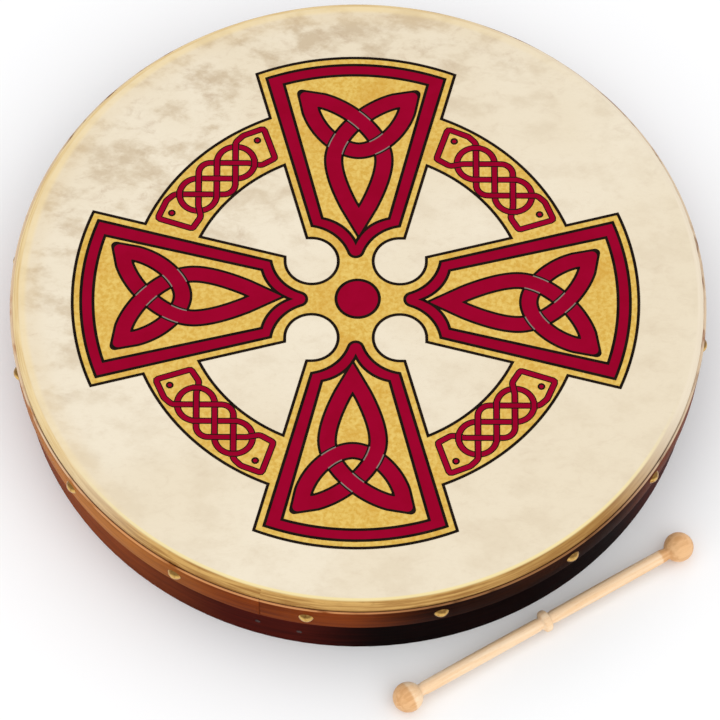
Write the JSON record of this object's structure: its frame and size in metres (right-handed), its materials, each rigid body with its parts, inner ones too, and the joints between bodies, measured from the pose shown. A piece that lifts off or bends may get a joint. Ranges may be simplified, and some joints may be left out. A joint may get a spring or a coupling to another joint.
{
  "type": "frame drum",
  "caption": "Shallow round frame drum with a tacked goatskin head, wooden hoop and trim band, open back with crossed bars, and a two-ended wooden beater.",
  "frame": {"origin": "centre of the open back face, which the drum lies on", "axes": "+Z out of the playing face along the drum's axis; -Y towards the front, where the tipper lies to the right"},
  "size_m": [0.4625, 0.5059, 0.0676],
  "materials": {
    "goatskin": "natural goatskin, cream and mottled, dry satin, with a knotwork print",
    "stained_hoop": "bent hardwood plies, dark mahogany stain, satin varnish",
    "stained_trim": "thin hardwood strip, red-brown stain, gloss varnish",
    "brass": "polished domed tack heads",
    "crossbar_wood": "planed hardwood, brown stain, satin",
    "steel": "plain steel nails and screw, dulled",
    "pale_wood": "turned pale hardwood, lightly varnished",
    "gold_print": "old-gold ink printed on the skin",
    "crimson_print": "crimson ink printed on the skin",
    "dark_print": "near-black ink printed on the skin",
    "pale_print": "light grey ink printed on the skin"
  },
  "bodies": {
    "drum": {"hoop_inner_ply": "stained_hoop", "hoop_core_ply": "stained_hoop", "hoop_outer_ply": "stained_hoop", "goatskin_head": "goatskin", "trim_band": "stained_trim", "rim_tacks": "brass", "lower_crossbar": "crossbar_wood", "upper_crossbar": "crossbar_wood", "crossbar_nails": "steel", "crossbar_screw": "steel"},
    "tipper": {"tipper": "pale_wood"}
  },
  "joints": [
    {"name": "tipper_lift", "type": "slide", "parent": "drum", "child": "tipper", "axis": [0, 0, 1], "range_m": [0, 0.15]}
  ]
}
